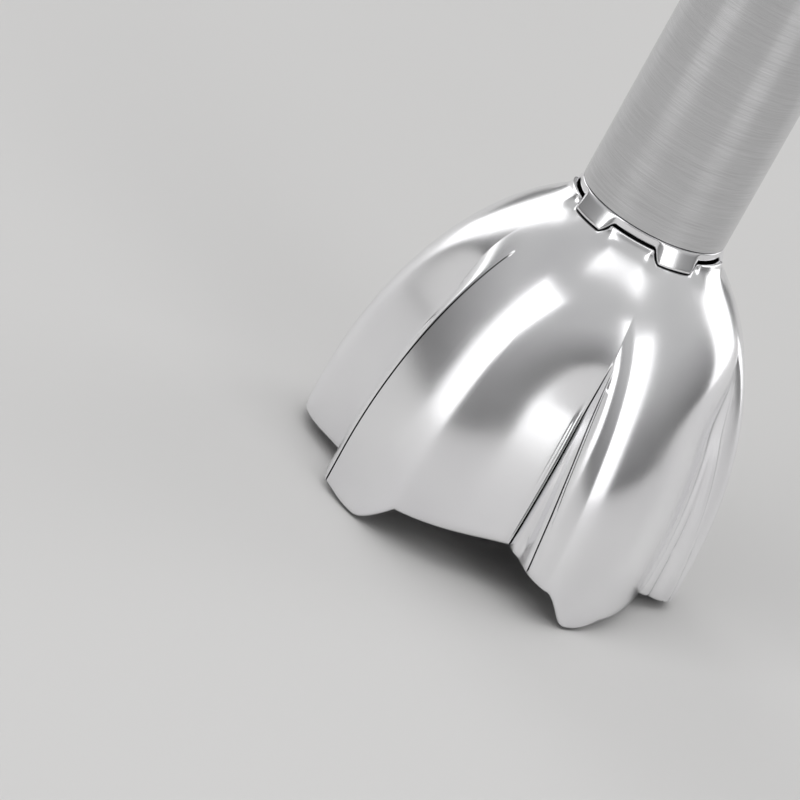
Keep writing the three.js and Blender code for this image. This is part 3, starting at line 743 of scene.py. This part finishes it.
def wing_edges(x):
    """Leading and trailing edge of the blade at a place along it, the -X wing a half turn round."""
    out = abs(x)
    lead = -4.6 + 5.2 * ramp(out, BLADE_BEND, BLADE_REACH - 1.5) ** 2.2
    lead = mix(lead, 3.6, ramp(out, BLADE_REACH - 1.5, BLADE_REACH - 0.8))
    trail = mix(4.6, 4.0, ramp(out, BLADE_BEND, BLADE_REACH - 0.8))
    return (lead, trail) if x > 0 else (-trail, -lead)


def blade_section(x):
    """The blade's outline across it: flat in the middle, ground to an edge on both sides."""
    lead, trail = wing_edges(x)
    grind = min(2.0, 0.4 * (trail - lead))
    lift = ramp(abs(x), BLADE_BEND, BLADE_REACH) * (BLADE_DROP if x > 0 else BLADE_RISE)
    low, high = BLADE_Z + lift, BLADE_Z + BLADE_THICK + lift
    edge = 0.16
    return [
        (x, lead, low + edge), (x, lead, low), (x, trail, low), (x, trail, low + edge),
        (x, trail - grind, high), (x, lead + grind, high),
    ]


def build_blade():
    """Two swept wings, one bent down and one up, bored for the shaft."""
    steps = 26
    tip = BLADE_REACH - 0.8
    places = [mix(BLADE_BEND, tip, (i / steps) ** 0.8) for i in range(steps + 1)]
    stations = [-x for x in places[::-1]] + [-3, 0, 3] + places
    blade = loft("ground_blade", [blade_section(x) for x in stations])
    bore = turned("bore", [(0, BLADE_Z - 1), (SHAFT_BORE, BLADE_Z - 1), (SHAFT_BORE, 17), (0, 17)], 0, 64)
    carve(blade, bore)
    finish_piece(blade, "blade_drive", "steel_blade", "blade")


build_collar()
build_tube()
build_tower()
build_socket()
build_drive()
build_nut()
build_blade()

# ---- handle -------------------------------------------------------------------------------

HANDLE_LOW, HANDLE_TOP = 213.3, 372.0
HANDLE_WALL = 2.2
HALF_GAP = 0.15
HANDLE_OUTLINE = ((213.3, 25.5), (235, 28), (285, 30.5), (338, 29), (372, 30.5))
POWER_Z, TURBO_Z = 348.0, 330.0
RELEASE_Z = 221.0
SCREW_X = 18.0
SCREW_HEIGHTS = (235.3, 366.0)
CAP_TOP = 392.0
CAP_FLOOR = 386.0
DIAL_TOP = 394.5
DIAL_SWEEP = 270.0
GLAND_Z = 378.5


def handle_radius(z):
    """A smooth curve through the handle's outline."""
    points = HANDLE_OUTLINE
    k = max(i for i in range(len(points) - 1) if points[i][0] <= z + 1e-9)
    ends = points[max(k - 1, 0)], points[k], points[k + 1], points[min(k + 2, len(points) - 1)]
    (_, r0), (z1, r1), (z2, r2), (_, r3) = ends
    t = (z - z1) / (z2 - z1)
    a, b = (r2 - r0) / 2, (r3 - r1) / 2
    return r1 + a * t + (3 * (r2 - r1) - 2 * a - b) * t ** 2 + (2 * (r1 - r2) + a + b) * t ** 3


def handle_sleeve(name, inner, outer, low, high, steps, sides=128):
    heights = [mix(low, high, i / steps) for i in range(steps + 1)]
    skin = [(handle_radius(z) + outer, z) for z in heights]
    skin += [(handle_radius(z) + inner, z) for z in heights[::-1]]
    return turned(name, skin, 0.4, sides)


def rod(name, radius, start, end, x, z, sides=48):
    """A plain round tool or post along Y."""
    return turned(name, [(0, start), (radius, start), (radius, end), (0, end)], 0, sides, "Y", (x, 0, z))


def screw_places():
    return [(side * SCREW_X, z) for z in SCREW_HEIGHTS for side in (-1, 1)]


def build_shell(name, node, side):
    """One half of the handle: side is -1 in front and 1 behind."""
    shell = handle_sleeve(name, -HANDLE_WALL, 0, HANDLE_LOW, HANDLE_TOP, 40)
    near, far = sorted((side * HALF_GAP, side * 60))
    carve(shell, block("half", (-60, near, 200), (60, far, 400)), "INTERSECT")
    for x, z in screw_places():
        ends = sorted((side * 19, side * HALF_GAP))
        carve(shell, rod("post", 2.7 if side < 0 else 3.5, *ends, x, z), "UNION")
    windows = block("window", (-40, -7, RELEASE_Z - 5.5), (40, 7, RELEASE_Z + 5.5))
    carve(shell, windows)
    if side < 0:
        carve(shell, rod("power_hole", 7.3, -40, -20, 0, POWER_Z, 96))
        carve(shell, rod("turbo_hole", 5.3, -40, -20, 0, TURBO_Z, 96))
        for x, z in screw_places():
            carve(shell, rod("pilot", 1.2, -12, 1, x, z))
    else:
        for x, z in screw_places():
            carve(shell, rod("bore", 1.5, -1, 10, x, z))
            carve(shell, rod("pocket", 2.9, 8, 40, x, z))
    soften(shell, 0.3)
    return finish_piece(shell, "motor_unit", "plastic_dark", node)


def build_grip():
    """The soft pad over the back of the handle, with shallow grooves across it."""
    low, high, pitch = 245.0, 356.0, 5.0
    outer = [(low, 0.6), (low + 1.5, 1.35)]
    z = low + 8
    while z < high - 6:
        outer += [(z - 0.9, 1.35), (z - 0.35, 0.85), (z + 0.35, 0.85), (z + 0.9, 1.35)]
        z += pitch
    outer += [(high - 1.5, 1.35), (high, 0.6)]
    skin = [(handle_radius(z) + off, z) for z, off in outer]
    skin += [(handle_radius(z) + 0.15, z) for z, _ in outer[::-1]]
    pad = turned("ribbed_grip", skin, 0.25, 128)
    carve(pad, block("back", (-60, 10, 200), (60, 60, 400)), "INTERSECT")
    soften(pad, 0.4, 3)
    finish_piece(pad, "motor_unit", "rubber", "soft_grip")


def build_ring():
    low, high = FLANGE_Z + 0.3, HANDLE_LOW - 0.2
    bore = PLUG_RADIUS + 0.5
    outline = [
        (bore, low), (23.6, low), (25.2, low + 1.7), (25.55, low + 6), (25.2, low + 6.2),
        (25.2, low + 6.9), (25.6, low + 7.1), (25.5, high), (bore, high),
    ]
    ring = turned("trim_ring", outline, 0.25, 160)
    finish_piece(ring, "motor_unit", "trim_chrome", "coupling_ring")


def build_cap():
    low = HANDLE_TOP + 0.3
    outline = [
        (3.4, 384), (26, 384), (28, low), (30.5, low), (30.4, 380), (28.6, 388), (25.5, CAP_TOP),
        (18.2, CAP_TOP), (18.2, CAP_FLOOR), (3.4, CAP_FLOOR),
    ]
    cap = turned("rounded_cap", outline, 0.8, 160)
    carve(cap, rod("gland_hole", 4.3, 20, 40, 0, GLAND_Z, 64))
    for i in range(6):
        angle = 180 - DIAL_SWEEP / 2 + DIAL_SWEEP * i / 5
        x, y, z = polar(angle, 21.4, CAP_TOP)
        size = 0.35 + 0.12 * i
        dot = turned("dot", [(0, -0.35), (size, -0.35), (size, 1), (0, 1)], 0, 32, "Z", (x, y, z))
        carve(cap, dot)
    finish_piece(cap, "motor_unit", "plastic_dark", "top_cap")


def build_dial():
    """A knob with shallow grip scallops, a dished top and an inlaid pointer."""
    low = CAP_FLOOR + 0.4
    outline = [
        (0, 376), (2.9, 376), (2.9, low), (17.7, low), (17.7, DIAL_TOP - 0.1), (15.6, DIAL_TOP),
        (13.6, DIAL_TOP - 0.7), (0, DIAL_TOP - 1.2),
    ]

    def scallop(r, degrees, h):
        return r - 0.8 * (r > 15) * (0.5 - 0.5 * math.cos(math.radians(18 * degrees))) ** 2

    knob = turned("scalloped_dial", outline, 0.5, 288, shape=scallop)
    finish_piece(knob, "speed_dial", "plastic_grey", "speed_dial")
    arrow = [(-0.6, 4), (0.6, 4), (0.6, 12.6), (0, 13.4), (-0.6, 12.6)]
    pointer = prism("dial_pointer", arrow, 392.9, 393.7)
    soften(pointer, 0.15)
    finish_piece(pointer, "speed_dial", "trim_chrome")


def build_button(name, node, radius, z, slot):
    """A dished push button on its flange and stem."""
    front, flange, stem_end = -31.2, -23.0, -18.1
    outline = [
        (0, front + 0.7), (radius * 0.6, front + 0.5), (radius - 1.1, front), (radius, front + 1),
        (radius, -24.5), (radius + 1.8, -24.5), (radius + 1.8, flange), (2.4, flange), (2.4, stem_end),
        (0, stem_end),
    ]
    button = turned(name, outline, 0.4, 96, "Y", (0, 0, z))
    finish_piece(button, node, slot, node)


def build_release(name, node, side):
    """A side button with ridges for the thumb."""
    half, face = 4.8, 27.4
    outline = [(21.4, -half), (face, -half)]
    for k in range(-2, 3):
        ridge = 1.7 * k
        outline += [(face, ridge - 0.45), (27.8, ridge - 0.2), (27.8, ridge + 0.2), (face, ridge + 0.45)]
    outline += [(face, half), (21.4, half)]
    profile = [(side * x, RELEASE_Z + z) for x, z in outline]
    pad = soften(prism(name, profile, -6.5, 6.5, "XZ"), 0.3)
    finish_piece(pad, node, "plastic_grey", node)


def build_spring(name, node, radius, start, end):
    """A coil from a button to its seat at end."""
    start, end = Vector(start), Vector(end)
    run = end - start
    wire, turns, steps, sides = 0.38, 4, 160, 10
    along = run.normalized()
    across = Vector((0, 0, 1))
    third = along.cross(across)
    reach = run.length - 2 * wire
    rings = []
    for i in range(steps + 1):
        a = 2 * math.pi * turns * i / steps
        out = across * math.cos(a) + third * math.sin(a)
        middle = start + along * (wire + reach * ramp(i / steps, 0.06, 0.94)) + out * radius
        ring = []
        for k in range(sides):
            b = 2 * math.pi * k / sides
            ring.append(tuple(middle + out * wire * math.cos(b) + along * wire * math.sin(b)))
        rings.append(ring)
    coil = loft(name, rings, 60)
    finish_piece(coil, "motor_unit", "steel_machined", node)
    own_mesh(coil)


def build_screws():
    for i, (x, z) in enumerate(screw_places()):
        outline = [
            (0, -9), (0.5, -9), (1.05, -8), (1.05, 8.1), (2.5, 8.1), (2.5, 9.2), (1.6, 9.75), (0, 9.8),
        ]
        screw = turned(f"cross_screw_{i + 1}", outline, 0.12, 48, "Y", (x, 0, z))
        for a, b in ((0.3, 1.5), (1.5, 0.3)):
            slot = block("slot", (x - a, 9.0, z - b), (x + a, 11, z + b))
            carve(screw, slot)
        node = f"housing_screw_{i + 1}"
        finish_piece(screw, "motor_unit", "steel_machined", node)


def build_gland():
    outline = [
        (2.6, 25), (3.9, 25), (3.9, 31), (6, 31), (6, 32.2), (5.2, 33), (2.6, 33),
    ]
    gland = turned("cord_bush", outline, 0.35, 72, "Y", (0, 0, GLAND_Z))
    finish_piece(gland, "motor_unit", "rubber", "cord_gland")


build_shell("front_casing", "handle_front_shell", -1)
build_shell("rear_casing", "handle_rear_shell", 1)
build_grip()
build_ring()
build_cap()
build_dial()
build_button("power_key", "power_button", 7.0, POWER_Z, "trim_chrome")
build_button("turbo_key", "turbo_button", 5.0, TURBO_Z, "plastic_grey")
build_release("right_latch_key", "release_button_right", 1)
build_release("left_latch_key", "release_button_left", -1)
build_screws()
build_gland()
for spring_name, z in (("power", POWER_Z), ("turbo", TURBO_Z)):
    build_spring(
        spring_name + "_coil", spring_name + "_button_spring",
        3.6, (0, -22.8, z), (0, -17.7, z),
    )
for spring_name, side in (("right", 1), ("left", -1)):
    build_spring(
        spring_name + "_latch_coil", "release_spring_" + spring_name,
        3.0, (side * 21.2, 0, RELEASE_Z), (side * 15.2, 0, RELEASE_Z),
    )

for name, node in frame["nodes"].items():
    slot = next(s["material_slot"] for s in frame["record"]["subparts"] if s["node"] == name)
    node.data.materials.clear()
    node.data.materials.append(MATERIALS[slot])

# ---- stage --------------------------------------------------------------------------------

CAMERA_ELEVATION = 21.0     # degrees above the horizon
CAMERA_ROLL = 28.9          # degrees that the tube leans to the right in the picture
CAMERA_DISTANCE = 1.0
VIEW_WIDTH = 130.3 * MM     # width of the picture at the bell
VIEW_ACROSS = -21.3 * MM    # picture centre from the middle of the seam, across the tube
VIEW_DOWN = 47.2 * MM       # and down along it

# Metres, and watts for the lights. The room is dim at ROOM_LOW and brightens to ROOM_HIGH.
ROOM_LOW = 0.1
ROOM_HIGH = 0.5
AIM = (0, 0, 0.05)             # the middle of the bell
SOFTBOX_ANGLES = (-135, -45, 45, 135)
SOFTBOX_DISTANCE = 1.5
SOFTBOX_HEIGHT = 0.6
SOFTBOX_SIZE = (0.8, 1.6)
SOFTBOX_POWER = 5.0
OVERHEAD_HEIGHT = 2.0
OVERHEAD_SIZE = (1.5, 1.5)
OVERHEAD_POWER = 7.0
KEY_PLACE = (-0.7, -0.7, 1.3)
KEY_SIZE = (0.9, 0.9)
KEY_POWER = 4
FLOOR_SIZE = 60.0
FLOOR_GAP = 0.0002             # the floor lies this far under the petal tips


def add_camera():
    data = bpy.data.cameras.new("camera")
    data.sensor_width = 36
    data.lens = 36 * CAMERA_DISTANCE / VIEW_WIDTH
    data.clip_start = 0.01
    data.clip_end = 50
    camera = bpy.data.objects.new("camera", data)
    bpy.context.scene.collection.objects.link(camera)
    e = math.radians(CAMERA_ELEVATION)
    back = Vector((0, -math.cos(e), math.sin(e)))
    right = Vector((1, 0, 0))
    up = Vector((0, math.sin(e), math.cos(e)))
    roll = math.radians(CAMERA_ROLL)
    target = Vector((0, 0, SEAM_Z * MM)) + right * VIEW_ACROSS - up * VIEW_DOWN
    camera_up = up * math.cos(roll) - right * math.sin(roll)
    camera_right = right * math.cos(roll) + up * math.sin(roll)
    turn = Matrix((camera_right, camera_up, back)).transposed()
    camera.matrix_world = Matrix.Translation(target + back * CAMERA_DISTANCE) @ turn.to_4x4()
    bpy.context.scene.camera = camera


def add_floor():
    bpy.ops.mesh.primitive_plane_add(size=FLOOR_SIZE, location=(0, 0, -FLOOR_GAP))
    floor = bpy.context.object
    floor.name = "floor"
    material, tree, shader = new_material("pale_floor", (0.66, 0.655, 0.65), 0.6)
    grain = noise(tree, (3, 3, 3), 1.0, 3.0)
    link(tree, tint(tree, grain, (0.645, 0.64, 0.635), (0.675, 0.67, 0.665)), shader.inputs["Base Color"])
    floor.data.materials.append(material)


def add_area(name, location, target, size, power):
    data = bpy.data.lights.new(name, "AREA")
    data.shape = "RECTANGLE"
    data.size, data.size_y = size
    data.energy = power
    light = bpy.data.objects.new(name, data)
    light.location = location
    light.rotation_euler = (Vector(target) - Vector(location)).to_track_quat("-Z", "Y").to_euler()
    bpy.context.scene.collection.objects.link(light)
    return light


def add_world():
    """A plain room: dim below the horizon and evenly brighter towards the ceiling."""
    world = bpy.data.worlds.new("studio")
    bpy.context.scene.world = world
    world.use_nodes = True
    tree = world.node_tree
    where = tree.nodes.new("ShaderNodeTexCoord")
    split = tree.nodes.new("ShaderNodeSeparateXYZ")
    link(tree, where.outputs["Generated"], split.inputs["Vector"])
    low, high = [(level, level, level) for level in (ROOM_LOW, ROOM_HIGH)]
    height = spread(tree, split.outputs["Z"], 0, 1, -0.5, 1.0)
    background = tree.nodes["Background"]
    link(tree, tint(tree, height, low, high), background.inputs["Color"])


def add_softboxes():
    """Equal upright softboxes either side of the object, in front and behind, and one overhead."""
    for angle in SOFTBOX_ANGLES:
        place = Vector(polar(angle, SOFTBOX_DISTANCE, 0)) + Vector((0, 0, SOFTBOX_HEIGHT))
        add_area(f"softbox_{angle}", place, AIM, SOFTBOX_SIZE, SOFTBOX_POWER)
    add_area("overhead", (0, 0, OVERHEAD_HEIGHT), AIM, OVERHEAD_SIZE, OVERHEAD_POWER)


add_camera()
add_floor()
add_world()
add_softboxes()
key = add_area("key", KEY_PLACE, AIM, KEY_SIZE, KEY_POWER)
key.visible_glossy = False
bpy.context.scene.view_settings.view_transform = "Standard"
